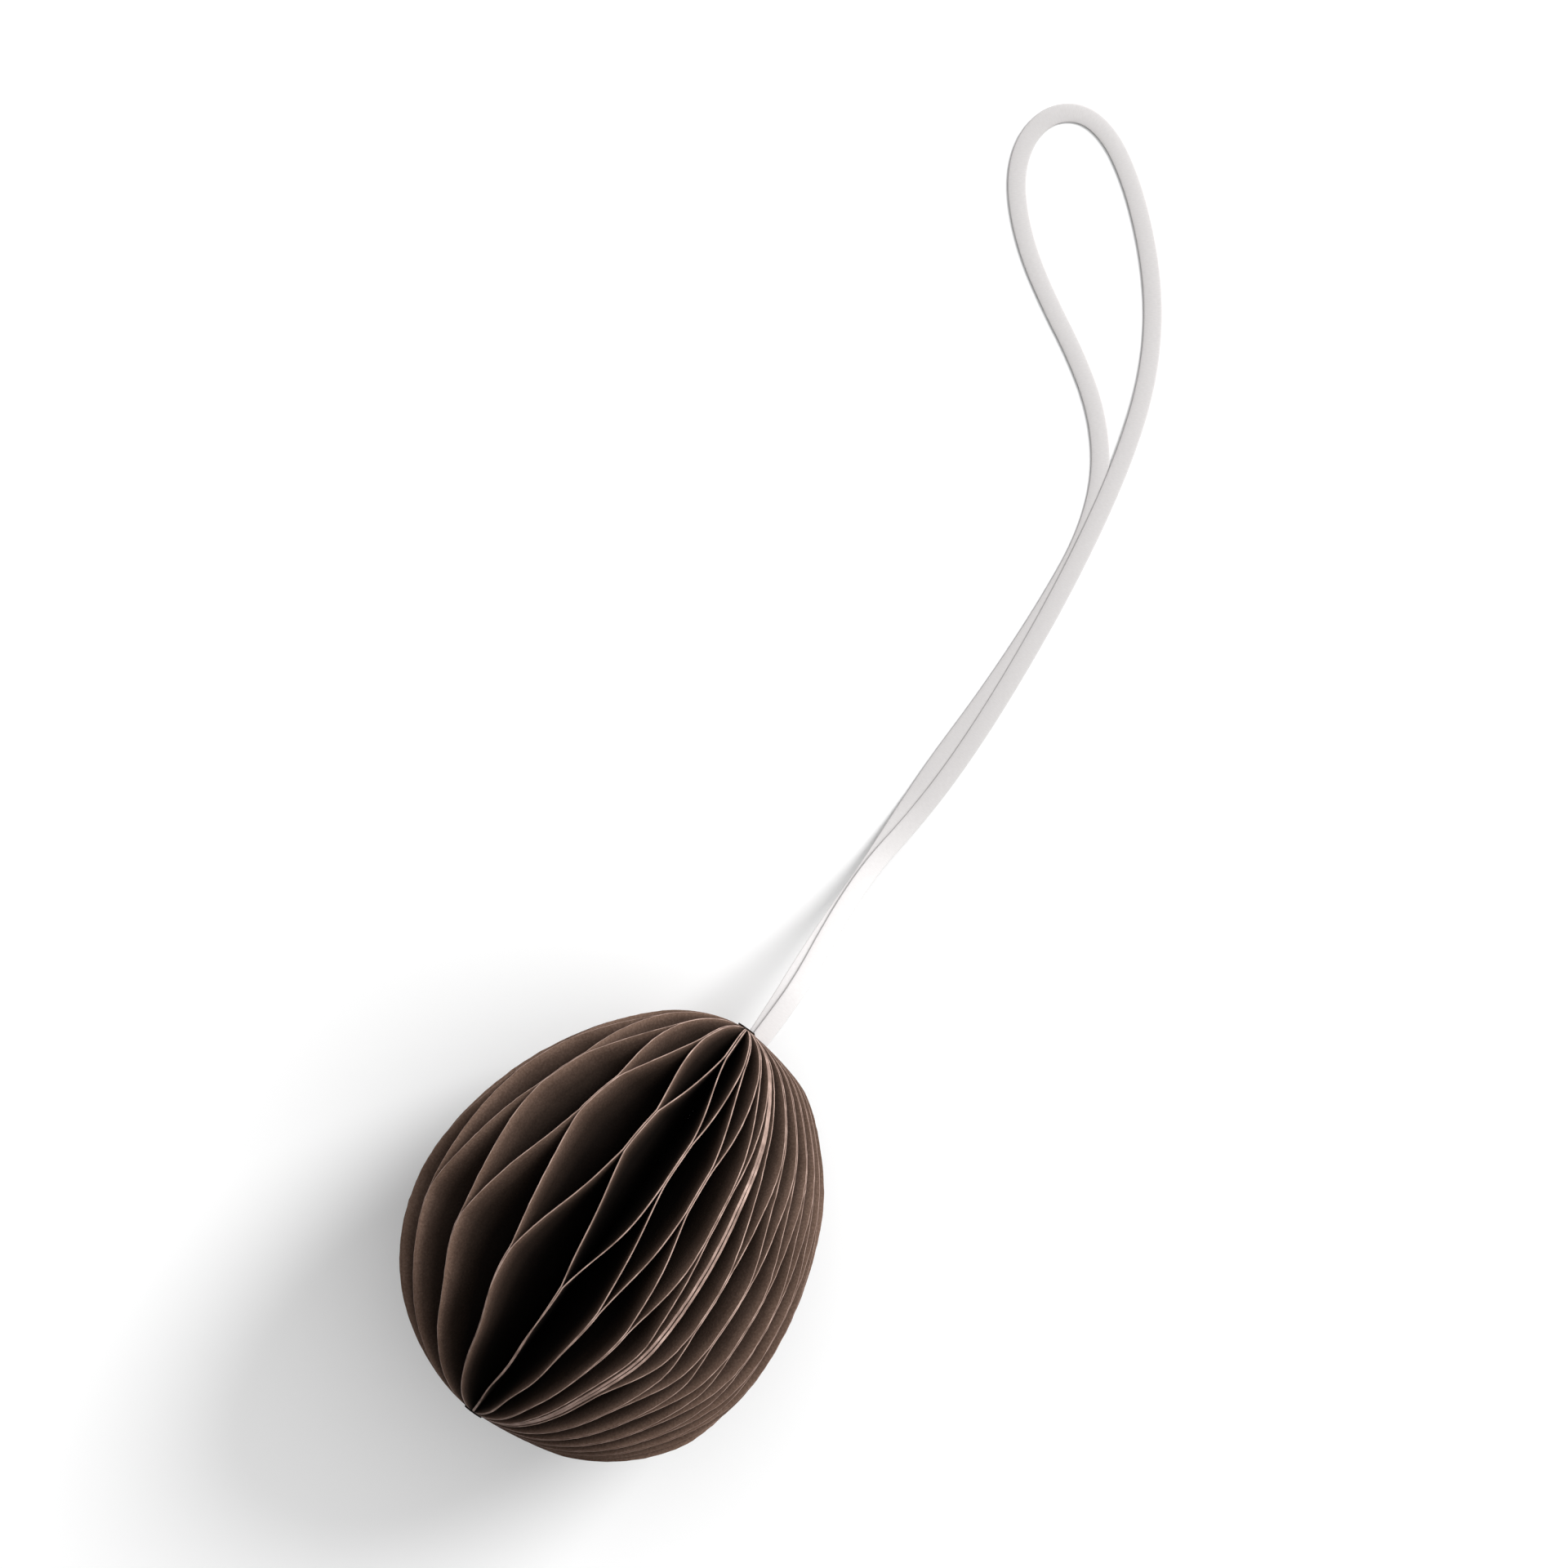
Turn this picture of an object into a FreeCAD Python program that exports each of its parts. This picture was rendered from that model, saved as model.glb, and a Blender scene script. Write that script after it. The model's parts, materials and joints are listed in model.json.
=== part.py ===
"""Paper honeycomb egg on a ribbon loop, lying on its side.

A pad of half-egg paper leaves, glued along their straight spine edges and covered by a thicker
board on each side, is fanned right round until the two boards meet back to back and close the
egg.  Every leaf is hinged to the next one at the spine, so the egg folds flat again.

Frame: +Z up from the surface that the egg lies on, +Y the way the spine points, towards the
narrow end, seen from above, and the origin on the surface under the middle of the egg's box.
Millimetres.  Azimuths go round the spine: 0 is the upper side and 90 is towards +X.
"""
import FreeCAD, Part
import Sketcher
import math
import os

from FreeCAD import Placement, Rotation, Vector

SIZES = {
    "egg_length": 74.0,         # pole to pole along the spine
    "blunt_radius": 31.2,       # round blunt end, and half the egg's width
    "flank_radius": 50.0,       # long arc from the widest place towards the narrow end
    "balance_height": 35.6,     # the egg's centre of mass, along the spine from the blunt pole
    "core_radius": 2.45,        # mean distance from the egg's axis to the spine edges
    "nub_length": 0.6,          # how far the bound spine stands past each pole
    "nub_width": 1.3,
    "leaf_thickness": 0.25,
    "glue_line": 0.02,          # paste between two leaves at the spine
    "board_thickness": 0.56,
    "closing_gap": 0.10,        # between the two boards where they meet
    "dot_thickness": 0.08,
    "dot_radius": 2.5,
    "dot_in": 19.5,             # from the spine edge to the middle of a closing dot
    "first_dot": 17.0,          # from the blunt pole along the spine
    "dot_step": 18.0,
    "seam_azimuth": 27.1,       # where the two boards meet
    "ribbon_width": 3.0,
    "ribbon_thickness": 0.25,
    "tail_length": 22.0,        # ribbon glued inside the hollow core
    "knot_radius": 1.5,
    "knot_length": 3.0,
}

# The fan isn't opened evenly.  From the seam and round by +X, how many openings there are in a
# row and how wide each is in degrees.  They add up to a full turn, and the three stretches that
# face away from the seam also bring the spine back to where it began.
FAN = [(12, 4.17), (6, 17.2022), (19, 2.4116), (4, 10.4441), (7, 10.65), (2, 9.35), (4, 5.25),
       (2, 2.45)]

# The ribbon's middle line from one end to the other: out of the core, down to the surface, round
# the loop, and back under itself into the core.
RIBBON_ROUTE = [
    (0.3, 37.0, 22.1), (0.6, 42.5, 20.7), (0.4, 48.3, 17.4), (-0.3, 54.1, 12.7),
    (-0.8, 60.4, 7.5), (-0.8, 67.4, 3.1), (0.2, 75.5, 1.0), (0.7, 85.0, 0.6),
    (0.4, 96.0, 0.6), (-0.5, 107.5, 0.6), (-1.8, 119.0, 0.6), (-3.5, 130.0, 0.6),
    (-5.3, 139.0, 0.6), (-7.5, 147.6, 0.5), (-10.5, 156.0, 0.3), (-14.6, 163.6, 0.2),
    (-19.6, 170.2, 0.2), (-25.4, 176.0, 0.2), (-32.0, 181.3, 0.2), (-38.6, 185.0, 0.2),
    (-44.4, 185.6, 0.2), (-48.6, 182.4, 0.2), (-49.6, 177.0, 0.2), (-47.6, 171.4, 0.2),
    (-43.4, 166.4, 0.2), (-37.6, 161.7, 0.2), (-30.4, 157.5, 0.2), (-22.8, 153.6, 0.2),
    (-15.6, 148.9, 0.2), (-10.0, 143.2, 0.2), (-6.4, 137.0, 0.15), (-4.0, 129.4, 0.15),
    (-2.9, 120.4, 0.15), (-2.2, 110.0, 0.15), (-1.9, 98.5, 0.15), (-2.1, 87.0, 0.15),
    (-1.7, 76.5, 0.4), (-1.2, 67.4, 2.3), (-1.2, 60.2, 6.7), (-1.2, 54.0, 11.9),
    (-1.0, 48.1, 16.6), (-0.6, 42.3, 20.0), (-0.3, 36.9, 21.5),
]

doc = FreeCAD.newDocument("honeycomb_egg")
sizes = doc.addObject("Spreadsheet::Sheet", "sizes")
for row, (alias, number) in enumerate(SIZES.items(), start=1):
    sizes.set(f"A{row}", alias)
    sizes.set(f"B{row}", str(number))
    sizes.setAlias(f"B{row}", alias)
doc.recompute()


def size(alias):
    return float(getattr(sizes, alias))


def new_sketch(body, name):
    """A sketch on the body's own XY plane."""
    sketch = body.newObject("Sketcher::SketchObject", name)
    plane = next(f for f in body.Origin.OriginFeatures if f.Role == "XY_Plane")
    sketch.AttachmentSupport = [(plane, "")]
    sketch.MapMode = "FlatFace"
    return sketch


# ---- the paper pieces: one half-egg outline, padded to each piece's own thickness ----

def tip_radius():
    """The radius of the small arc round the narrow end: tangent to the flank, on the axis."""
    flank, wide = size("flank_radius"), size("blunt_radius")
    rise = size("egg_length") - wide
    return (flank**2 - (flank - wide)**2 - rise**2) / (2 * (flank - rise))


def draw_half_egg(sketch):
    """Half an egg from three tangent arcs, with its straight spine edge on the sketch's Y axis."""
    length, wide, flank = size("egg_length"), size("blunt_radius"), size("flank_radius")
    core, nub, step = size("core_radius"), size("nub_length"), size("nub_width")
    rise, tip = length - wide, tip_radius()
    blunt_centre = Vector(-core, wide)
    flank_centre = Vector(wide - core - flank, wide)
    tip_centre = Vector(-core, length - tip)
    blunt_start = -math.acos((step + core) / wide)
    tip_start = math.atan2(rise - tip, flank - wide)
    tip_end = math.acos((step + core) / tip)
    low_y = wide + wide * math.sin(blunt_start)
    high_y = length - tip + tip * math.sin(tip_end)

    def line(x0, y0, x1, y1):
        return Part.LineSegment(Vector(x0, y0), Vector(x1, y1))

    def arc(centre, radius, start, end):
        return Part.ArcOfCircle(Part.Circle(centre, Vector(0, 0, 1), radius), start, end)

    spine, foot, low, blunt, side, point, high, head, axis = sketch.addGeometry([
        line(0, length + nub, 0, -nub),
        line(0, -nub, step, -nub),
        line(step, -nub, step, low_y),
        arc(blunt_centre, wide, blunt_start, 0),
        arc(flank_centre, flank, 0, tip_start),
        arc(tip_centre, tip, tip_start, tip_end),
        line(step, high_y, step, length + nub),
        line(step, length + nub, 0, length + nub),
        line(-core, wide, -core, length),
    ], False)
    sketch.setConstruction(axis, True)
    start, end, centre, origin, y_axis = 1, 2, 3, (-1, 1), -2

    def tie(kind, *where):
        return sketch.addConstraint(Sketcher.Constraint(kind, *where))

    def dimension(kind, name, expression, *where):
        sketch.renameConstraint(tie(kind, *where), name)
        sketch.setExpression(f"Constraints.{name}", expression)

    for first, second in ((spine, foot), (foot, low), (low, blunt), (point, high), (high, head),
                          (head, spine)):
        tie("Coincident", first, end, second, start)
    tie("Tangent", blunt, end, side, start)
    tie("Tangent", side, end, point, start)
    for upright in (spine, low, high, axis):
        tie("Vertical", upright)
    for level in (foot, head):
        tie("Horizontal", level)
    tie("PointOnObject", spine, start, y_axis)
    tie("Horizontal", blunt, centre, side, centre)
    tie("Coincident", axis, start, blunt, centre)
    tie("PointOnObject", point, centre, axis)
    tie("PointOnObject", axis, end, point)
    tie("Equal", foot, head)
    dimension("Radius", "blunt", "sizes.blunt_radius", blunt, wide)
    dimension("Radius", "flank", "sizes.flank_radius", side, flank)
    dimension("DistanceX", "core", "sizes.core_radius", blunt, centre, *origin, core)
    dimension("DistanceY", "height", "sizes.blunt_radius", *origin, blunt, centre, wide)
    dimension("DistanceY", "pole", "sizes.egg_length", *origin, axis, end, length)
    dimension("DistanceX", "step", "sizes.nub_width", foot, start, foot, end, step)
    dimension("DistanceY", "under", "sizes.nub_length", spine, end, *origin, nub)
    dimension("DistanceY", "over", "sizes.egg_length + sizes.nub_length",
              *origin, spine, start, length + nub)


def add_half_egg(name, thickness):
    """One leaf or board, flat in its own XY plane, with its spine edge on its Y axis."""
    body = doc.addObject("PartDesign::Body", name)
    outline = new_sketch(body, f"{name}_outline")
    draw_half_egg(outline)
    pad = body.newObject("PartDesign::Pad", f"{name}_pad")
    pad.Profile = outline
    pad.SideType = "Symmetric"
    pad.setExpression("Length", f"sizes.{thickness}")
    return body


# ---- the fan: where each leaf stands round the spine ----

def outward(azimuth):
    """The way a leaf points, across the spine, as (x, height) for an azimuth in degrees."""
    return Vector(math.sin(math.radians(azimuth)), 0, math.cos(math.radians(azimuth)))


def onward(azimuth):
    """The way round the spine, square to a leaf, towards the next one."""
    return outward(azimuth + 90)


def middle_of(azimuths, edges):
    """The point that the spine edges stand evenly round: each counts for the angle it covers."""
    middle, last = Vector(), len(azimuths) - 1
    for piece, (azimuth, edge) in enumerate(zip(azimuths, edges)):
        covers = (azimuths[min(piece + 1, last)] - azimuths[max(piece - 1, 0)]) / 2
        way = outward(azimuth)
        middle += way * edge.dot(way) * math.radians(covers) / math.pi
    return middle


def fan_out():
    """The openings, each piece's azimuth and spine edge, and the hinges between the pieces.

    Neighbours lie glue line to glue line at the spine, and each hinge is on that line.  The
    points are (x, 0, height) from the egg's axis.
    """
    openings = [opening for count, opening in FAN for _ in range(count)]
    last = len(openings)
    azimuths, edges, hinges = [size("seam_azimuth")], [Vector()], []

    def half_depth(piece):
        thickness = size("board_thickness" if piece in (0, last) else "leaf_thickness")
        return (thickness + size("glue_line")) / 2

    for piece, opening in enumerate(openings):
        hinges.append(edges[-1] + onward(azimuths[-1]) * half_depth(piece))
        azimuths.append(azimuths[-1] + opening)
        edges.append(hinges[-1] + onward(azimuths[-1]) * half_depth(piece + 1))

    middle = middle_of(azimuths, edges)
    return (openings, azimuths, [edge - middle for edge in edges],
            [hinge - middle for hinge in hinges])


OPENINGS, AZIMUTHS, EDGES, HINGES = fan_out()

# The egg lies where its weight is right above the place where its flank touches the surface.
across = size("flank_radius") - size("blunt_radius")
along = size("balance_height") - size("blunt_radius")
DIP = math.degrees(math.atan2(along, across))


def lay_down():
    """The placement from the spine's frame, with the blunt pole at its origin, to the surface."""
    dip = Rotation(Vector(1, 0, 0), -DIP)
    to_tip = size("egg_length") - tip_radius() - size("blunt_radius")
    reach = dip.multVec(Vector(0, to_tip, 0)).y + tip_radius()
    blunt_centre = Vector(0, (size("blunt_radius") - reach) / 2,
                          size("flank_radius") - across * math.cos(math.radians(DIP)))
    return Placement(blunt_centre - dip.multVec(Vector(0, size("blunt_radius"), 0)), dip)


EGG = lay_down()


def stand_piece(piece):
    """The placement of a leaf or board at its place in the fan."""
    turn = Rotation(Vector(0, 1, 0), AZIMUTHS[piece] - 90)
    return EGG * Placement(EDGES[piece], turn)


LAST = len(OPENINGS)
nodes = {}
for piece in range(LAST + 1):
    if piece in (0, LAST):
        name, thickness = ("first_board" if piece == 0 else "last_board"), "board_thickness"
    else:
        name, thickness = f"leaf_{piece:02d}", "leaf_thickness"
    nodes[name] = add_half_egg(name, thickness)
    nodes[name].Placement = stand_piece(piece)


# ---- closing dots: three thin discs of adhesive that hold the two boards together ----

DOTS = 3


def add_closing_dots():
    dots = []
    for number in range(DOTS):
        dot = doc.addObject("Part::Cylinder", f"closing_dot_{number + 1}")
        dot.setExpression("Radius", "sizes.dot_radius")
        dot.setExpression("Height", "sizes.dot_thickness")
        dot.setExpression("Placement.Base.x", "sizes.dot_in")
        dot.setExpression("Placement.Base.y", f"sizes.first_dot + {number} * sizes.dot_step")
        dot.setExpression("Placement.Base.z", "sizes.board_thickness / 2")
        dots.append(dot)
    group = doc.addObject("Part::Compound", "closing_dots")
    group.Links = dots
    group.Placement = stand_piece(0)
    return group


nodes["closing_dots"] = add_closing_dots()


# ---- the ribbon: a flat strip along straight runs joined by tangent arcs ----

ARC_SHARE = 0.45                # how much of the shorter run beside it each arc takes


def rounded_path(points):
    """A wire of straight runs along the points with an arc at each corner, and the radii."""
    edges, radii = [], []
    here = points[0]
    for before, corner, after in zip(points, points[1:], points[2:]):
        run_in, run_out = corner - before, after - corner
        cut = ARC_SHARE * min(run_in.Length, run_out.Length)
        turn = run_in.getAngle(run_out)
        radii.append(cut / math.tan(turn / 2))
        way_in, way_out = Vector(run_in).normalize(), Vector(run_out).normalize()
        start, end = corner - way_in * cut, corner + way_out * cut
        bend = Vector(way_out - way_in).normalize()
        crown = corner + bend * (radii[-1] / math.cos(turn / 2) - radii[-1])
        edges.append(Part.LineSegment(here, start).toShape())
        edges.append(Part.Arc(start, crown, end).toShape())
        here = end
    edges.append(Part.LineSegment(here, points[-1]).toShape())
    return Part.Wire(edges), radii


def sweep_strip(path):
    """A strip along the path, as wide as the ribbon and level across."""
    start, way = path.Edges[0].firstVertex().Point, path.Edges[0].tangentAt(0)
    side = way.cross(Vector(0, 0, 1)).normalize() * (size("ribbon_width") / 2)
    rise = side.cross(way).normalize() * (size("ribbon_thickness") / 2)
    corners = [start + side + rise, start - side + rise, start - side - rise, start + side - rise]
    shell = Part.BRepOffsetAPI.MakePipeShell(path)
    shell.setBiNormalMode(Vector(0, 0, 1))
    shell.add(Part.makePolygon(corners + corners[:1]))
    shell.build()
    shell.makeSolid()
    return shell.shape()


def add_shape(name, shape):
    node = doc.addObject("Part::Feature", name)
    node.Shape = shape
    return node


route = [Vector(*point) for point in RIBBON_ROUTE]
path, radii = rounded_path(route)
nodes["ribbon_loop"] = add_shape("ribbon_loop", sweep_strip(path))
section = size("ribbon_width") * size("ribbon_thickness")
print("ribbon: length %.1f, volume over section %.1f, radii %.1f to %.1f"
      % (path.Length, nodes["ribbon_loop"].Shape.Volume / section, min(radii), max(radii)))


def add_ribbon_tails():
    """Both ends of the ribbon, one over the other in the core, and the knot that they end in."""
    into_core = EGG.Rotation.multVec(Vector(0, -1, 0))
    starts = (route[0], route[-1])
    ends = [start + into_core * size("tail_length") for start in starts]
    tails = [sweep_strip(Part.Wire(Part.LineSegment(start, end).toShape()))
             for start, end in zip(starts, ends)]
    knot = Part.makeCylinder(size("knot_radius"), size("knot_length"), (ends[0] + ends[1]) / 2,
                             into_core)
    return add_shape("ribbon_tails", Part.makeCompound(tails + [knot]))


nodes["ribbon_tails"] = add_ribbon_tails()

# ---- checks and files ----

doc.recompute()
for item in doc.Objects:
    if {"Invalid", "Error"} & set(item.State):
        raise RuntimeError(f"{item.Name} failed: {item.State}")
os.makedirs("parts", exist_ok=True)
for name, node in nodes.items():
    node.Label = name
    if node.Shape.isNull() or not node.Shape.isValid():
        raise RuntimeError(f"{name} has no valid shape")
    node.Shape.exportStep(f"parts/{name}.step")
print("nodes", len(nodes), "dip %.2f" % DIP, "full turn %.3f" % sum(OPENINGS))
print("closing error %.4f" % (EDGES[-1] - EDGES[0] + onward(AZIMUTHS[0]) *
                              (size("board_thickness") + size("closing_gap"))).Length)
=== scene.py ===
"""Paper honeycomb egg on a satin ribbon loop: its looks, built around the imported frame.

Every leaf is modelled as the sheet that it is: straight from the spine outward, and swaying
between its two neighbours, because rows of glue hold it to one of them and then to the other.
Metres, in the frame's own axes: +Z up from the surface, +Y towards the narrow end.
"""
import json
import math
import random

import bpy
import numpy as np
from mathutils import Matrix, Vector


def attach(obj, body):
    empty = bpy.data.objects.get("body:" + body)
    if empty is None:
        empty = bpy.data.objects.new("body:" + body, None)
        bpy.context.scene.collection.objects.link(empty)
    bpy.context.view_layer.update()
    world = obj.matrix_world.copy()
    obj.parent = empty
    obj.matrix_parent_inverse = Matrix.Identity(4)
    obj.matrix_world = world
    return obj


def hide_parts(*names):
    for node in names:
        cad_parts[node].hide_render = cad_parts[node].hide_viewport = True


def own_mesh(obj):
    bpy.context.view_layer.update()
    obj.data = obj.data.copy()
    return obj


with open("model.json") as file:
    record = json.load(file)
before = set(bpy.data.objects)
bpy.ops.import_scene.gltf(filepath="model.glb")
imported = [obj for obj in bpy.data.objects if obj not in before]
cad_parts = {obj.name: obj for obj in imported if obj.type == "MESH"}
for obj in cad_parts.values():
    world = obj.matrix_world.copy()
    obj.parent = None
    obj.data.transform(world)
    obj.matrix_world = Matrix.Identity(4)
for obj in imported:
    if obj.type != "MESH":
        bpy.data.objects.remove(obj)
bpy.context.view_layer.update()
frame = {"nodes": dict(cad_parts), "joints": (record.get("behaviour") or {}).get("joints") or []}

MM = 0.001
EGG_LENGTH = 74 * MM
BLUNT_RADIUS = 31.2 * MM
FLANK_RADIUS = 50 * MM
CORE_RADIUS = 2.45 * MM
CAD_NUB = 0.6 * MM               # how far the frame's pieces stand past the poles
NUB_LENGTH = 0.15 * MM           # how far the sheets modelled here do
NUB_WIDTH = 0.3 * MM             # a sheet's width there
LEAF_THICKNESS = 0.18 * MM
SPINE_PITCH = 0.27 * MM          # a leaf and its glue line, which close the core
BOARD_THICKNESS = 0.42 * MM

RIBBON_WIDTH = 3 * MM
RIBBON_THICKNESS = 0.22 * MM
RIBBON_ROUTE = [
    (0.3, 34.6, 22.7), (0.6, 42.5, 20.7), (0.4, 48.3, 17.4), (-0.3, 54.1, 12.7),
    (-0.8, 60.4, 7.5), (-0.8, 67.4, 3.1), (0.2, 75.5, 0.9), (0.7, 85.0, 0.42),
    (0.4, 96.0, 0.4), (-0.5, 107.5, 0.4), (-1.8, 119.0, 0.4), (-3.5, 130.0, 0.4),
    (-5.3, 139.0, 0.4), (-7.5, 147.6, 0.36), (-10.5, 156.0, 0.25), (-14.6, 163.6, 0.15),
    (-19.6, 170.2, 0.2), (-25.4, 176.0, 0.2), (-32.0, 181.3, 0.2), (-38.6, 185.0, 0.2),
    (-44.4, 185.6, 0.2), (-48.6, 182.4, 0.2), (-49.6, 177.0, 0.2), (-47.6, 171.4, 0.2),
    (-43.4, 166.4, 0.2), (-37.6, 161.7, 0.2), (-30.4, 157.5, 0.2), (-22.8, 153.6, 0.2),
    (-15.6, 148.9, 0.2), (-10.0, 143.2, 0.2), (-6.4, 137.0, 0.15), (-4.0, 129.4, 0.15),
    (-2.9, 120.4, 0.15), (-2.2, 110.0, 0.15), (-1.9, 98.5, 0.15), (-2.1, 87.0, 0.15),
    (-1.7, 76.5, 0.4), (-1.2, 67.4, 2.3), (-1.2, 60.2, 6.7), (-1.2, 54.0, 11.9),
    (-1.0, 48.1, 16.6), (-0.6, 42.3, 20.0), (-0.3, 34.5, 22.1),
]
HELD_BY = "leaf_28"             # the frame's fixed body, which the ribbon is glued beside

LAST = 56                       # the number of the last board, and of the openings
PIECES = ["first_board"] + [f"leaf_{k:02d}" for k in range(1, LAST)] + ["last_board"]
joint_axis = Vector(frame["joints"][0]["axis"])
SPINE = (-joint_axis if joint_axis.y < 0 else joint_axis).normalized()


# ---- materials ----

class Nodes:
    """A material's node tree, with short ways to add nodes and join them."""

    def __init__(self, name, roughness):
        self.material = bpy.data.materials.new(name)
        self.material.use_nodes = True
        self.tree = self.material.node_tree
        self.shader = self.tree.nodes["Principled BSDF"]
        self.shader.inputs["Roughness"].default_value = roughness
        self.place = self.add("ShaderNodeTexCoord").outputs["Object"]

    def add(self, kind, **settings):
        node = self.tree.nodes.new(kind)
        for key, value in settings.items():
            setattr(node, key, value)
        return node

    def join(self, source, target):
        self.tree.links.new(source, target)

    def noise(self, size, detail=3.0, stretch=None, source=None):
        """Noise whose grains are about size metres across."""
        texture = self.add("ShaderNodeTexNoise")
        texture.inputs["Scale"].default_value = 1 / size
        texture.inputs["Detail"].default_value = detail
        place = source or self.place
        if stretch:
            mapping = self.add("ShaderNodeMapping")
            mapping.inputs["Scale"].default_value = stretch
            self.join(place, mapping.inputs["Vector"])
            place = mapping.outputs["Vector"]
        self.join(place, texture.inputs["Vector"])
        return texture.outputs["Fac"]

    def ramp(self, source, *stops):
        """Colours along a value, from (position, colour) pairs."""
        node = self.add("ShaderNodeValToRGB")
        elements = node.color_ramp.elements
        while len(elements) < len(stops):
            elements.new(0.5)
        for element, (position, colour) in zip(elements, stops):
            element.position = position
            element.color = (*colour, 1)
        self.join(source, node.inputs["Fac"])
        return node.outputs["Color"]

    def mix(self, share, first, second, blend="MIX"):
        """Two colours mixed; share is a number or a socket."""
        node = self.add("ShaderNodeMix", data_type="RGBA", blend_type=blend)
        if isinstance(share, float):
            node.inputs["Factor"].default_value = share
        else:
            self.join(share, node.inputs["Factor"])
        for socket, colour in ((node.inputs["A"], first), (node.inputs["B"], second)):
            if isinstance(colour, tuple):
                socket.default_value = (*colour, 1)
            else:
                self.join(colour, socket)
        return node.outputs["Result"]

    def bump(self, height, depth, after=None):
        """A bump, depth metres deep."""
        node = self.add("ShaderNodeBump")
        node.inputs["Distance"].default_value = depth
        self.join(height, node.inputs["Height"])
        if after:
            self.join(after, node.inputs["Normal"])
        return node.outputs["Normal"]


def paper_face():
    """Dark brown paper, fibrous, with painted shade: darker the deeper inside the cells and
    lighter towards the cut edge.
    """
    n = Nodes("paper_face", 0.82)
    depth = n.add("ShaderNodeAttribute", attribute_name="depth").outputs["Fac"]
    # painted shade: the colour runs from lighter at the cut edge to near black deep in the cell,
    # where shade falls
    painted_cell_shade = n.ramp(depth, (0.0, (0.168, 0.110, 0.084)), (0.08, (0.073, 0.047, 0.036)),
                   (0.20, (0.028, 0.018, 0.0135)), (0.42, (0.010, 0.0065, 0.005)))
    cloud = n.ramp(n.noise(9 * MM, 2), (0.3, (0.86, 0.84, 0.82)), (0.7, (1.08, 1.08, 1.08)))
    fibre = n.noise(0.35 * MM, 4)
    speck = n.ramp(fibre, (0.35, (0.75, 0.72, 0.70)), (0.62, (1.0, 1.0, 1.0)),
                   (0.8, (1.35, 1.3, 1.28)))
    toned = n.mix(1.0, painted_cell_shade, cloud, "MULTIPLY")
    n.join(n.mix(1.0, toned, speck, "MULTIPLY"), n.shader.inputs["Base Color"])
    cockle = n.bump(n.noise(4 * MM, 1), 0.12 * MM)
    n.join(n.bump(fibre, 0.03 * MM, cockle), n.shader.inputs["Normal"])
    n.shader.inputs["Specular IOR Level"].default_value = 0.08
    return n.material


def paper_edge():
    """The cut edge, where the paper's paler fibres are bare."""
    n = Nodes("paper_edge", 0.9)
    worn = n.noise(2.2 * MM, 3)
    colour = n.ramp(worn, (0.25, (0.15, 0.099, 0.080)), (0.5, (0.27, 0.185, 0.154)),
                    (0.75, (0.42, 0.300, 0.255)))
    n.join(colour, n.shader.inputs["Base Color"])
    n.join(n.bump(n.noise(0.2 * MM, 3), 0.04 * MM), n.shader.inputs["Normal"])
    n.shader.inputs["Specular IOR Level"].default_value = 0.25
    return n.material


def satin():
    """White satin ribbon: fine threads along it, and a soft sheen."""
    n = Nodes("satin_ribbon", 0.5)
    along = n.add("ShaderNodeUVMap", uv_map="ribbon").outputs["UV"]
    threads = n.add("ShaderNodeTexWave", wave_type="BANDS", bands_direction="Y")
    threads.inputs["Scale"].default_value = 9.0
    threads.inputs["Distortion"].default_value = 0.6
    n.join(along, threads.inputs["Vector"])
    picks = n.noise(0.05, 2, (1.0, 0.2, 1.0), along)
    tone = n.ramp(picks, (0.35, (0.525, 0.508, 0.505)), (0.7, (0.56, 0.543, 0.540)))
    shade = n.ramp(threads.outputs["Fac"], (0.0, (0.96, 0.96, 0.96)), (0.6, (1.0, 1.0, 1.0)))
    n.join(n.mix(1.0, tone, shade, "MULTIPLY"), n.shader.inputs["Base Color"])
    n.join(n.bump(threads.outputs["Fac"], 0.008 * MM), n.shader.inputs["Normal"])
    n.shader.inputs["Specular IOR Level"].default_value = 0.25
    n.shader.inputs["Sheen Weight"].default_value = 0.05
    n.shader.inputs["Anisotropic"].default_value = 0.5
    return n.material


def clear_adhesive():
    """Dots of tacky film: milky, glossy, a little uneven."""
    n = Nodes("clear_adhesive", 0.25)
    cloud = n.ramp(n.noise(1.2 * MM, 3), (0.3, (0.62, 0.58, 0.52)), (0.7, (0.80, 0.77, 0.72)))
    n.join(cloud, n.shader.inputs["Base Color"])
    n.join(n.bump(n.noise(0.6 * MM, 2), 0.02 * MM), n.shader.inputs["Normal"])
    n.shader.inputs["Transmission Weight"].default_value = 0.35
    return n.material


PAPER_FACE, PAPER_EDGE, SATIN = paper_face(), paper_edge(), satin()


# ---- meshes ----

def make_piece(name, points, faces, materials, kinds, sharp=None):
    """A mesh object from arrays; kinds gives each face's material."""
    mesh = bpy.data.meshes.new(name)
    mesh.from_pydata([tuple(p) for p in points], [], faces)
    for material in materials:
        mesh.materials.append(material)
    mesh.polygons.foreach_set("material_index", kinds)
    mesh.polygons.foreach_set("use_smooth", [True] * len(faces))
    mesh.update()
    if sharp:
        attribute = mesh.attributes.new("sharp_edge", "BOOLEAN", "EDGE")
        marked = [tuple(sorted(edge.vertices)) in sharp for edge in mesh.edges]
        attribute.data.foreach_set("value", marked)
    piece = bpy.data.objects.new(name, mesh)
    bpy.context.collection.objects.link(piece)
    return piece


BOUND_COLUMNS = 4               # the rim is dark this far in from both its ends: it takes the faces' material and its painted shade


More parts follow.
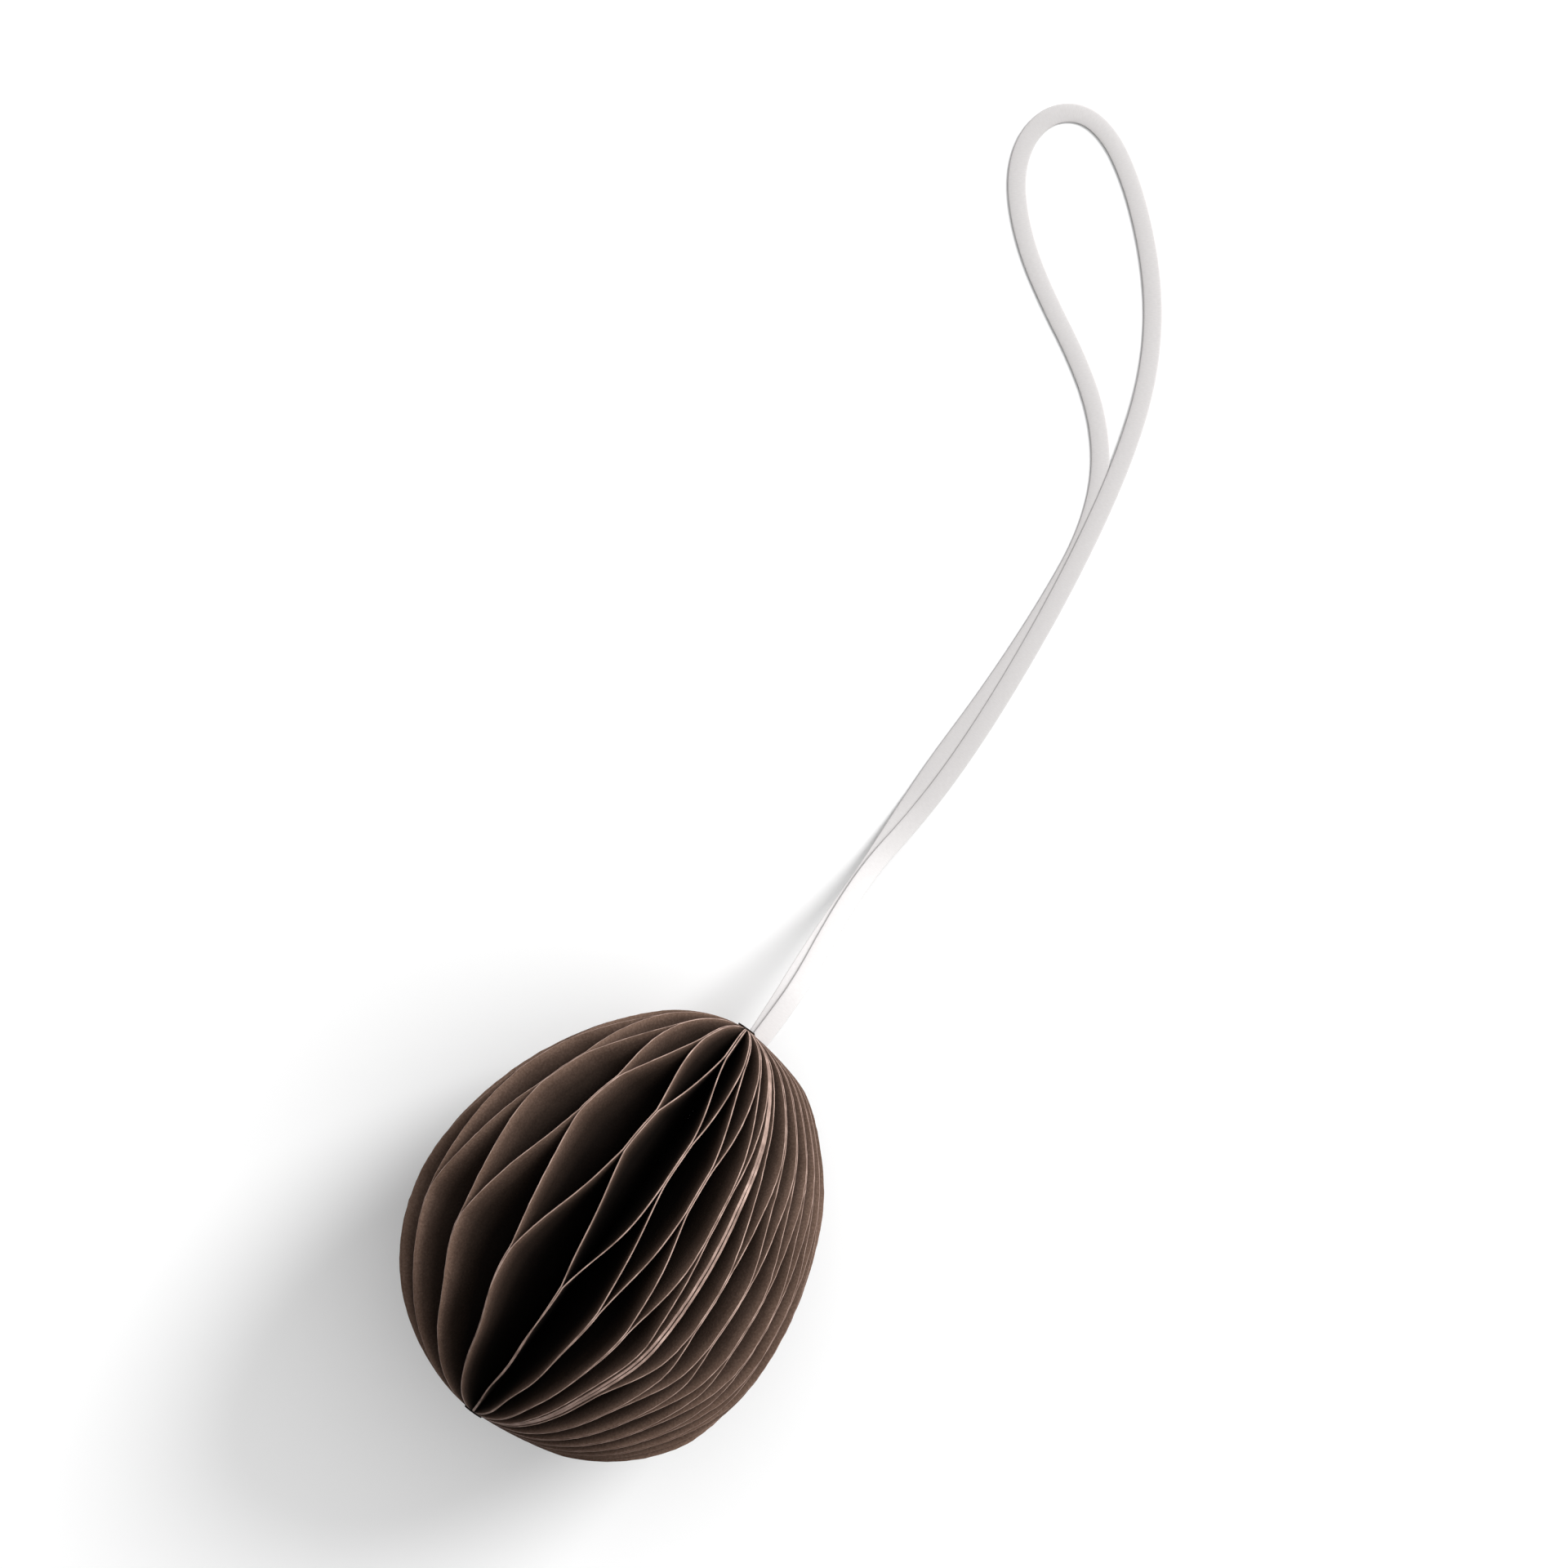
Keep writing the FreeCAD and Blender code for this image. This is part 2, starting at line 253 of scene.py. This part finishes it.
def slab(front, back):
    """Faces of a closed slab between two equal grids of points, front stored before back.

    Returns the points, the faces, 1 for each face of the cut rim beside the last row and 0 for
    the others, and the edges between the sheet and its rim.
    """
    rows, columns = front.shape[:2]
    points = np.concatenate([front.reshape(-1, 3), back.reshape(-1, 3)])
    offset = rows * columns

    def at(i, j, side):
        return side * offset + i * columns + j

    faces, kinds = [], []
    for i in range(rows - 1):
        for j in range(columns - 1):
            faces.append((at(i, j, 0), at(i + 1, j, 0), at(i + 1, j + 1, 0), at(i, j + 1, 0)))
            faces.append((at(i, j, 1), at(i, j + 1, 1), at(i + 1, j + 1, 1), at(i + 1, j, 1)))
            kinds += [0, 0]
    around = ([(i, 0) for i in range(rows)] + [(rows - 1, j) for j in range(1, columns)]
              + [(i, columns - 1) for i in range(rows - 2, -1, -1)]
              + [(0, j) for j in range(columns - 2, 0, -1)])
    sharp = set()
    for a, b in zip(around, around[1:] + around[:1]):
        faces.append((at(*b, 0), at(*a, 0), at(*a, 1), at(*b, 1)))
        cut = BOUND_COLUMNS <= min(a[1], b[1]) < columns - 1 - BOUND_COLUMNS
        kinds.append(int(a[0] == b[0] == rows - 1 and cut))
        for side in (0, 1):
            sharp.add(tuple(sorted((at(*a, side), at(*b, side)))))
    return points, faces, kinds, sharp


# ---- the leaves ----

def egg_radius(along):
    """The egg's radius at distances from the blunt pole: three tangent arcs."""
    rise, over = EGG_LENGTH - BLUNT_RADIUS, FLANK_RADIUS - BLUNT_RADIUS
    tip = (FLANK_RADIUS**2 - over**2 - rise**2) / (2 * (FLANK_RADIUS - rise))
    tip_centre = EGG_LENGTH - tip
    tip_start = BLUNT_RADIUS + FLANK_RADIUS * (tip_centre - BLUNT_RADIUS) / (FLANK_RADIUS - tip)
    blunt = np.sqrt(np.maximum(BLUNT_RADIUS**2 - (along - BLUNT_RADIUS)**2, 0))
    flank = np.sqrt(np.maximum(FLANK_RADIUS**2 - (along - BLUNT_RADIUS)**2, 0)) - over
    point = np.sqrt(np.maximum(tip**2 - (along - tip_centre)**2, 0))
    return np.where(along < BLUNT_RADIUS, blunt, np.where(along < tip_start, flank, point))


HUB = np.mean([np.array(j["pos_m"]) for j in frame["joints"]], axis=0)
HUB = HUB - np.array(SPINE) * (HUB @ np.array(SPINE))
AXIS = np.array((0, 0, 30.4)) * MM            # a point on the line that the egg is round about
BOUND_SHIFT = np.array((-2.4, 0, 0)) * MM     # both ends of the bound spine sit to one side


class Plate:
    """Where a flat CAD piece stands: its spine edge's blunt end, and its own three axes."""

    def __init__(self, name):
        points = np.array([v.co for v in frame["nodes"][name].data.vertices])
        spine = np.array(SPINE)
        across = points - np.outer(points @ spine, spine)
        middle = across.mean(axis=0)
        _, _, axes = np.linalg.svd(across - middle, full_matrices=False)
        self.out = axes[0] * np.sign(axes[0] @ (middle - HUB))
        self.on = np.cross(spine, self.out)
        edge = (points @ self.out).min()
        plane = ((points @ self.on).min() + (points @ self.on).max()) / 2
        pole = (points @ spine).min() + CAD_NUB
        self.origin = self.out * edge + self.on * plane + spine * pole
        self.spine = spine
        self.to_bound_end = AXIS + BOUND_SHIFT - self.origin

    def at(self, x, y, z):
        """Points of arrays x outward, y along the spine and z towards the next piece."""
        return (self.origin + x[..., None] * self.out + y[..., None] * self.spine
                + z[..., None] * self.on)


plates = [Plate(name) for name in PIECES]
openings = [math.acos(min(1, a.out @ b.out)) for a, b in zip(plates, plates[1:])]

# Rows of glue between two pieces, as shares of the spine from the blunt pole.  They take turns: a
# row across the middle, then a row over each end.  The egg is two pads, glued at other places.
FIRST_PAD_MIDDLE = [(0.42, 0.56)]
FIRST_PAD_ENDS = [(-0.2, 0.20), (0.80, 1.2)]
SECOND_PAD_MIDDLE = [(0.62, 0.725)]
SECOND_PAD_ENDS = [(-0.2, 0.34), (0.92, 1.2)]
SECOND_PAD = 28                 # the second pad's first leaf
# The second pad's middle row slants: it lies further along by ROW_SLANT for each leaf before
# SLANT_FROM, SLANT_MOST times at most, and less far by as much for each leaf after it.
ROW_SLANT = 0.0075
SLANT_FROM = 50
SLANT_MOST = 4
ROW_SCATTER = 0.005

random.seed(7)
row_shift = [random.uniform(-ROW_SCATTER, ROW_SCATTER) for _ in range(LAST)]


def joined_rows(k):
    """Where piece k is glued to the next."""
    slant = 0
    if k < SECOND_PAD:
        rows = FIRST_PAD_MIDDLE if k % 2 else FIRST_PAD_ENDS
    elif k % 2:
        rows = SECOND_PAD_ENDS
    else:
        rows = SECOND_PAD_MIDDLE
        slant = ROW_SLANT * min(SLANT_FROM - k, SLANT_MOST)
    return [(start + slant + row_shift[k], end + slant + row_shift[k]) for start, end in rows]


STRAIGHT = 0.8                  # how straight a leaf runs from one glue row to the next


def sway(k, share):
    """How leaf k leans at shares of its spine: 1 is on to the next piece, -1 on to the last."""
    stops = [(t, 1.0) for row in joined_rows(k) for t in row]
    stops += [(t, -1.0) for row in joined_rows(k - 1) for t in row]
    stops.sort()
    lean = np.full(share.shape, stops[0][1])
    for (t0, lean0), (t1, lean1) in zip(stops, stops[1:]):
        part = np.clip((share - t0) / (t1 - t0), 0, 1)
        smooth = part * part * (3 - 2 * part)
        eased = STRAIGHT * part + (1 - STRAIGHT) * smooth
        lean = np.where(share >= t0, lean0 + (lean1 - lean0) * eased, lean)
    return lean


FULL_TURN = 2 * math.pi
WAVES = 8
SHORTEST_WAVE, LONGEST_WAVE = 9, 26           # millimetres
WAVE_HEIGHT = 1.5               # the waves' sum stays about under this times the root of WAVES
waves = [(np.array([random.gauss(0, 1) for _ in range(3)]), random.uniform(0, FULL_TURN),
          random.uniform(SHORTEST_WAVE, LONGEST_WAVE) * MM) for _ in range(WAVES)]


def unevenness(points):
    """A smooth field through space, about -1 to 1, so that glued leaves stray together."""
    total = np.zeros(points.shape[:-1])
    for way, phase, length in waves:
        unit = way / np.linalg.norm(way)
        total += np.sin(points @ unit * (FULL_TURN / length) + phase)
    return total / math.sqrt(WAVES) / WAVE_HEIGHT


COLUMNS = 110                   # points of a sheet's grid along the spine
RINGS = 7                       # and outward from it
ROUGH_CUT = 0.05 * MM
CLEAN_WIDTH = 0.9 * MM          # the cut is only rough where a sheet is wider than this


def leaf_grid():
    """The grid of a leaf: how far out and how far along the spine each of its points is."""
    turn = np.linspace(0, math.pi, COLUMNS)
    along = np.concatenate([[-NUB_LENGTH], EGG_LENGTH * (1 - np.cos(turn)) / 2,
                            [EGG_LENGTH + NUB_LENGTH]])
    width = np.maximum(egg_radius(along) - CORE_RADIUS, NUB_WIDTH)
    ragged = np.array([random.gauss(0, ROUGH_CUT / 2) for _ in along])
    width = width + ragged * (width > CLEAN_WIDTH)
    x = np.linspace(0, 1, RINGS)[:, None] * width[None, :]
    y = np.broadcast_to(along, x.shape)
    return x, y


BOUND_RADIUS = 1.3 * MM         # the spine's two ends are pinched to this radius
PINCH_LENGTH = 3 * MM
PULL_POWER = 1.5                # how soon the shift of the bound ends fades away from them
GATHER = math.radians(8)        # the ribs lie closer together on top of the blunt end,
GATHER_ZONE = (0.34 * EGG_LENGTH, 0.14 * EGG_LENGTH)
SPREAD = math.radians(5)        # and further apart near the narrow end
SPREAD_ZONE = (0.66 * EGG_LENGTH, 0.86 * EGG_LENGTH)


def smooth_step(value, start, end):
    """0 before start, 1 past end, and a smooth rise between them."""
    part = np.clip((value - start) / (end - start), 0, 1)
    return part * part * (3 - 2 * part)


def gathered(plate, x, y):
    """How far out and how far on a piece's points move, as its bound ends are drawn together."""
    pull = (1 - (egg_radius(y) / BLUNT_RADIUS)**2)**PULL_POWER
    pinch = np.clip(1 - np.minimum(y, EGG_LENGTH - y) / PINCH_LENGTH, 0, 1)**2
    side = plate.out[0]
    turn = (SPREAD * max(side, 0) * smooth_step(y, *SPREAD_ZONE)
            - GATHER * side * smooth_step(y, *GATHER_ZONE))
    out = (plate.to_bound_end @ plate.out + BOUND_RADIUS) * pinch
    on = plate.to_bound_end @ plate.on * pull + x * np.tan(turn)
    return out, on


DEEP = 20 * MM                  # how far in from the cut edge the depth of a cell is counted, for the paper's painted shade
BOUND = 3 * MM                  # the poles, where the outline is this near the spine, are dark with more painted shade
BOUND_DEPTH = 0.4


def mark_depth(piece, x):
    """Stores how deep in its cell each point is, which sets the painted shade: 0 at the cut edge,
    1 at DEEP and further in.
    """
    bound = np.clip(1 - (x[-1:] - x[:1]) / BOUND, 0, 1)
    depth = np.clip((x[-1:] - x) / DEEP + BOUND_DEPTH * bound, 0, 1).ravel()
    attribute = piece.data.attributes.new("depth", "FLOAT", "POINT")
    attribute.data.foreach_set("value", np.concatenate([depth, depth]).astype(np.float32))


def make_sheet(k, name, grid, half):
    """Piece k from the grid of its middle surface, and how far its points stand to one side."""
    plate = plates[k]
    x, y, z = grid
    out, on = gathered(plate, x, y)
    x, z = x + out, z + on
    points, faces, kinds, sharp = slab(plate.at(x, y, z + half), plate.at(x, y, z - half))
    sheet = make_piece(name, points, faces, (PAPER_FACE, PAPER_EDGE), kinds, sharp)
    mark_depth(sheet, x)
    return sheet, z


def flatten(piece):
    """Gives a piece its own copy of its mesh."""
    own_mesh(piece)


STRAY = 0.012                   # sideways stray of a leaf, as a share of the distance out
BOARD_STRAY = 0.15              # a board's stray, as a share of a leaf's
HALF_WAY = 0.5
BESIDE_BOARD = 0.72             # a board doesn't sway, so its leaf reaches over to its face


def reach(k):
    """How steeply a leaf leans to meet its neighbour across opening k."""
    return math.tan(openings[k] * (BESIDE_BOARD if k in (0, LAST - 1) else HALF_WAY))


def make_leaf(k):
    """A leaf, which sways between its two neighbours."""
    x, y = leaf_grid()
    lean = sway(k, y / EGG_LENGTH)
    to_next, to_last = reach(k), reach(k - 1)
    slope = (to_next + to_last) / 2 * lean + (to_next - to_last) / 2 * lean**2
    z = x * (slope + STRAY * unevenness(plates[k].at(x, y, x * slope)))
    half = np.full((RINGS, 1), LEAF_THICKNESS / 2)
    half[0] = SPINE_PITCH / 2
    leaf, z = make_sheet(k, f"paper_{PIECES[k]}", (x, y, z), half)
    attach(leaf, PIECES[k])
    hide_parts(PIECES[k])
    flatten(leaf)


def make_board(k):
    """A cover board: nearly flat and thicker, with an uneven cut edge."""
    x, y = leaf_grid()
    z = x * STRAY * BOARD_STRAY * unevenness(plates[k].at(x, y, 0 * x))
    board, z = make_sheet(k, f"cover_{PIECES[k]}", (x, y, z), BOARD_THICKNESS / 2)
    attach(board, PIECES[k])
    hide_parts(PIECES[k])
    flatten(board)


for k in range(1, LAST):
    make_leaf(k)
make_board(0)
make_board(LAST)

frame["nodes"]["closing_dots"].data.materials.clear()
frame["nodes"]["closing_dots"].data.materials.append(clear_adhesive())


# ---- the ribbon ----

def mesh_of(curve):
    """A new mesh of a curve's own shape."""
    holder = bpy.data.objects.new(curve.name, curve)
    bpy.context.collection.objects.link(holder)
    bpy.context.view_layer.update()
    mesh = bpy.data.meshes.new_from_object(holder)
    bpy.data.objects.remove(holder)
    return mesh


def route_line():
    """Points along the ribbon's smooth middle line, read from its NURBS route."""
    data = bpy.data.curves.new("ribbon_route", "CURVE")
    data.dimensions = "3D"
    spline = data.splines.new("NURBS")
    spline.points.add(len(RIBBON_ROUTE) - 1)
    for point, (x, y, z) in zip(spline.points, RIBBON_ROUTE):
        point.co = (x * MM, y * MM, z * MM, 1)
    spline.order_u = 3
    spline.use_endpoint_u = True
    spline.resolution_u = 14
    mesh = mesh_of(data)
    line = np.array([v.co for v in mesh.vertices])
    bpy.data.meshes.remove(mesh)
    return line


CUP = 0.10 * MM                 # how far the ribbon's middle stands up over its edges
ACROSS = np.array([-1, -0.93, -0.82, -0.5, 0, 0.5, 0.82, 0.93, 1])    # shares of half its width
BULK = np.array([0.4, 0.9, 1, 1, 1, 1, 1, 0.9, 0.4])                  # thin at both selvedges
LOWEST = 0.01 * MM              # the ribbon's underside clears the floor by this


def ribbon_mesh(name, line):
    """A flat woven strip along a line: level across, a little cupped, and above the floor."""
    step = np.linalg.norm(np.diff(line, axis=0), axis=1)
    length = np.concatenate([[0], np.cumsum(step)])
    ahead = np.gradient(line, length, axis=0)
    ahead /= np.linalg.norm(ahead, axis=1)[:, None]
    side = np.cross(ahead, (0, 0, 1))
    side /= np.linalg.norm(side, axis=1)[:, None]
    up = np.cross(side, ahead)
    rise = CUP * (1 - ACROSS**2)
    middle = (line[:, None] + ACROSS[None, :, None] * side[:, None] * RIBBON_WIDTH / 2
              + rise[None, :, None] * up[:, None])
    lift = (BULK * RIBBON_THICKNESS / 2)[None, :, None] * up[:, None]
    top, bottom = middle + lift, middle - lift
    sunk = np.minimum(bottom[..., 2], LOWEST) - LOWEST
    top[..., 2] -= sunk
    bottom[..., 2] -= sunk
    points, faces, _, _ = slab(top, bottom)
    ribbon = make_piece(name, points, faces, (SATIN,), [0] * len(faces))
    grid = np.stack(np.broadcast_arrays(length[:, None] / RIBBON_WIDTH,
                                        (ACROSS[None, :] + 1) / 2), axis=-1).reshape(-1, 2)
    grid = np.concatenate([grid, grid])
    layer = ribbon.data.uv_layers.new(name="ribbon")
    corners = np.zeros(len(ribbon.data.loops), dtype=int)
    ribbon.data.loops.foreach_get("vertex_index", corners)
    layer.data.foreach_set("uv", grid[corners].ravel())
    return ribbon, length[-1]


line = route_line()
ribbon, ribbon_length = ribbon_mesh("satin_ribbon_loop", line)
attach(ribbon, HELD_BY)
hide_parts("ribbon_loop")


TAIL_LENGTH = 19.5 * MM
TAIL_STEPS = 24
KNOT_RADIUS = 1.0 * MM
KNOT_CORD = 0.38 * MM           # the radius of the ribbon where it is drawn tight in the knot
KNOT_STEPS = 72
BEHIND = 1.5 * MM               # from the tails' ends to the middle of the knot


def make_knot(centre):
    """A tight trefoil knot round the spine's own direction."""
    angle = np.linspace(0, FULL_TURN, KNOT_STEPS + 1)[:-1]
    spine, level = np.array(SPINE), np.array((1.0, 0, 0))
    high = np.cross(level, spine)
    trefoil = (centre + KNOT_RADIUS / 3 * (
        (np.sin(angle) + 2 * np.sin(2 * angle))[:, None] * level
        + (np.cos(angle) - 2 * np.cos(2 * angle))[:, None] * spine
        - np.sin(3 * angle)[:, None] * high))
    data = bpy.data.curves.new("knot", "CURVE")
    data.dimensions = "3D"
    data.bevel_depth = KNOT_CORD
    data.bevel_resolution = 3
    spline = data.splines.new("POLY")
    spline.points.add(len(trefoil) - 1)
    for point, place in zip(spline.points, trefoil):
        point.co = (*place, 1)
    spline.use_cyclic_u = True
    mesh = mesh_of(data)
    mesh.materials.clear()
    mesh.materials.append(SATIN)
    knot = bpy.data.objects.new("knot", mesh)
    bpy.context.collection.objects.link(knot)
    return knot


def make_tails():
    """Both ends of the ribbon in the core, and the knot that they end in."""
    spine = np.array(SPINE)
    pieces = []
    for number, end in enumerate((line[0], line[-1])):
        steps = np.linspace(0, TAIL_LENGTH, TAIL_STEPS)
        tail = end[None, :] - steps[:, None] * spine[None, :]
        pieces.append(ribbon_mesh(f"tail_{number}", tail)[0])
    knot = make_knot((line[0] + line[-1]) / 2 - spine * (TAIL_LENGTH + BEHIND))
    with bpy.context.temp_override(active_object=pieces[0], object=pieces[0],
                                   selected_objects=pieces + [knot],
                                   selected_editable_objects=pieces + [knot]):
        bpy.ops.object.join()
    tails = pieces[0]
    tails.name = "ribbon_tails_and_knot"
    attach(tails, HELD_BY)
    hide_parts("ribbon_tails")


make_tails()


# ---- floor, light and camera ----

FLOOR_SIZE = 6


def make_floor():
    bpy.ops.mesh.primitive_plane_add(size=FLOOR_SIZE)
    floor = bpy.context.object
    floor.name = "floor"
    n = Nodes("pale_floor", 0.7)
    tone = n.ramp(n.noise(0.4, 2), (0.3, (0.86, 0.86, 0.86)), (0.7, (0.88, 0.88, 0.88)))
    n.join(tone, n.shader.inputs["Base Color"])
    n.shader.inputs["Specular IOR Level"].default_value = 0.2
    floor.data.materials.append(n.material)


def add_light(name, spot, aim, size, power):
    """A round soft box, size metres across."""
    data = bpy.data.lights.new(name, "AREA")
    data.shape = "DISK"
    data.size = size
    data.energy = power
    light = bpy.data.objects.new(name, data)
    light.location = spot
    light.rotation_euler = (Vector(aim) - Vector(spot)).to_track_quat("-Z", "Y").to_euler()
    bpy.context.collection.objects.link(light)


PITCH = math.radians(7.1)       # how far the camera leans from straight down
ROLL = math.radians(35.756)     # how far it is turned about its own line of sight
CAMERA_PLACE = Vector((-20.44, 144.29, 604.58)) * MM


def add_camera():
    """Nearly straight down, from 0.6 m, turned so that the spine runs up to the right."""
    data = bpy.data.cameras.new("camera")
    data.lens = 85
    data.sensor_width = 36
    camera = bpy.data.objects.new("camera", data)
    back = Vector((0, math.sin(PITCH), math.cos(PITCH)))
    right0, up0 = Vector((1, 0, 0)), Vector((0, math.cos(PITCH), -math.sin(PITCH)))
    right = right0 * math.cos(ROLL) + up0 * math.sin(ROLL)
    up = up0 * math.cos(ROLL) - right0 * math.sin(ROLL)
    turn = Matrix((right, up, back)).transposed().to_4x4()
    camera.matrix_world = Matrix.Translation(CAMERA_PLACE) @ turn
    bpy.context.collection.objects.link(camera)
    bpy.context.scene.camera = camera
    return right, up, back


right, up, back = add_camera()
make_floor()
middle = Vector((0, 0, 0.03))   # of the egg
add_light("key", middle + 2.1 * right + 1.5 * up + 2.2 * back, middle, size=1.3, power=88)


def add_world(bright_side):
    """A white room with its large window on one side; a view past the floor's edge is white."""
    world = bpy.data.worlds.new("studio")
    world.use_nodes = True
    tree = world.node_tree
    tree.nodes["Background"].inputs["Color"].default_value = (1, 1, 1, 1)
    way = tree.nodes.new("ShaderNodeTexCoord")
    facing = tree.nodes.new("ShaderNodeVectorMath")
    facing.operation = "DOT_PRODUCT"
    facing.inputs[1].default_value = bright_side.normalized()
    shade = tree.nodes.new("ShaderNodeMapRange")
    shade.interpolation_type = "SMOOTHSTEP"
    for name, value in (("From Min", -0.3), ("From Max", 0.9), ("To Min", 0.03), ("To Max", 1.65)):
        shade.inputs[name].default_value = value
    tree.links.new(way.outputs["Generated"], facing.inputs[0])
    tree.links.new(facing.outputs["Value"], shade.inputs["Value"])
    rays = tree.nodes.new("ShaderNodeLightPath")
    strength = tree.nodes.new("ShaderNodeMath")
    strength.operation = "MAXIMUM"
    tree.links.new(shade.outputs["Result"], strength.inputs[0])
    tree.links.new(rays.outputs["Is Camera Ray"], strength.inputs[1])
    tree.links.new(strength.outputs["Value"], tree.nodes["Background"].inputs["Strength"])
    bpy.context.scene.world = world


add_world(0.75 * right + 0.5 * up + 0.6 * back)
bpy.context.scene.view_settings.view_transform = "Standard"
